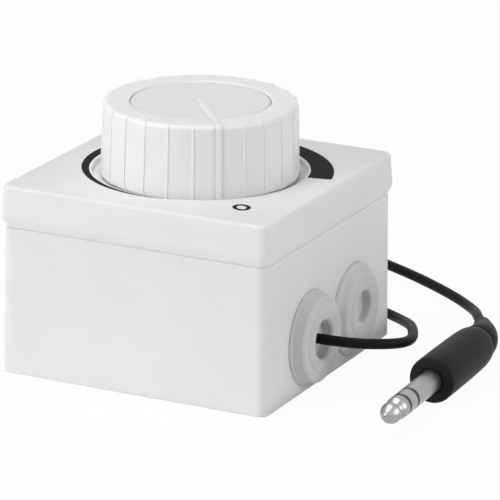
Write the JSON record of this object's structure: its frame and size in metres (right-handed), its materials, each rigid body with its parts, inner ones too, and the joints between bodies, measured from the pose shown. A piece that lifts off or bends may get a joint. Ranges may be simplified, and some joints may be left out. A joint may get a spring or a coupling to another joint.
{
  "type": "fan speed controller",
  "caption": "Square surface-mounted fan speed controller with a fluted rotary knob, rubber cable grommets and a short lead that ends in a jack plug.",
  "frame": {"origin": "middle of the box's flat back, on the wall face", "axes": "+Z out of the wall along the knob's shaft, +Y up the wall, cable entries on the -Y side"},
  "size_m": [0.1447, 0.1224, 0.0732],
  "materials": {
    "housing_white": "fine moulded texture",
    "knob_white": "satin",
    "cap_white": "satin",
    "pointer_white": "smooth",
    "grommet_grey": "soft matt",
    "zinc_steel": "zinc plated",
    "nickel_brass": "nickel plated",
    "shaft_aluminium": "turned",
    "insert_black": "moulded",
    "inner_white": "moulded",
    "board_green": "solder mask",
    "track_brown": "laminate",
    "contact_brass": "plain",
    "wire_white": "smooth",
    "cord_black": "smooth, slightly shiny",
    "plug_black": "moulded",
    "plug_nickel": "nickel plated",
    "insulator_black": "smooth"
  },
  "bodies": {
    "root": {"back_box": "housing_white", "cover_frame": "housing_white", "mounting_plate": "zinc_steel", "plate_screws": "zinc_steel", "module_housing": "insert_black", "housing_screws": "zinc_steel", "circuit_board": "board_green", "board_screws": "zinc_steel", "terminal_block": "insert_black", "terminal_screws": "zinc_steel", "potentiometer_case": "insert_black", "potentiometer_lid": "zinc_steel", "resistance_track": "track_brown", "potentiometer_pins": "contact_brass", "switch_case": "insert_black", "switch_pins": "contact_brass", "switch_leaf": "contact_brass", "threaded_bush": "nickel_brass", "lock_washer": "zinc_steel", "hex_nut": "nickel_brass", "grommet_cabled": "grommet_grey", "grommet_blank": "grommet_grey", "cord_inner": "cord_black", "cable_tie": "inner_white", "conductor_wires": "wire_white", "cord": "cord_black", "plug_neck": "plug_black", "plug_body": "plug_black", "plug_sleeve": "plug_nickel", "plug_ring": "plug_nickel", "plug_tip": "plug_nickel", "plug_insulators": "insulator_black"},
    "knob": {"knob_shell": "knob_white", "knob_cap": "cap_white", "knob_pointer": "pointer_white", "knob_spring_clip": "zinc_steel", "control_shaft": "shaft_aluminium", "retaining_ring": "zinc_steel", "wiper_carrier": "inner_white", "wiper_contact": "contact_brass", "switch_cam": "inner_white"}
  },
  "joints": [
    {"name": "knob_turn", "type": "hinge", "parent": "root", "child": "knob", "pos_m": [0, 0, 0.06], "axis": [0, 0, -1], "range_deg": [-7.5, 292.5]}
  ]
}
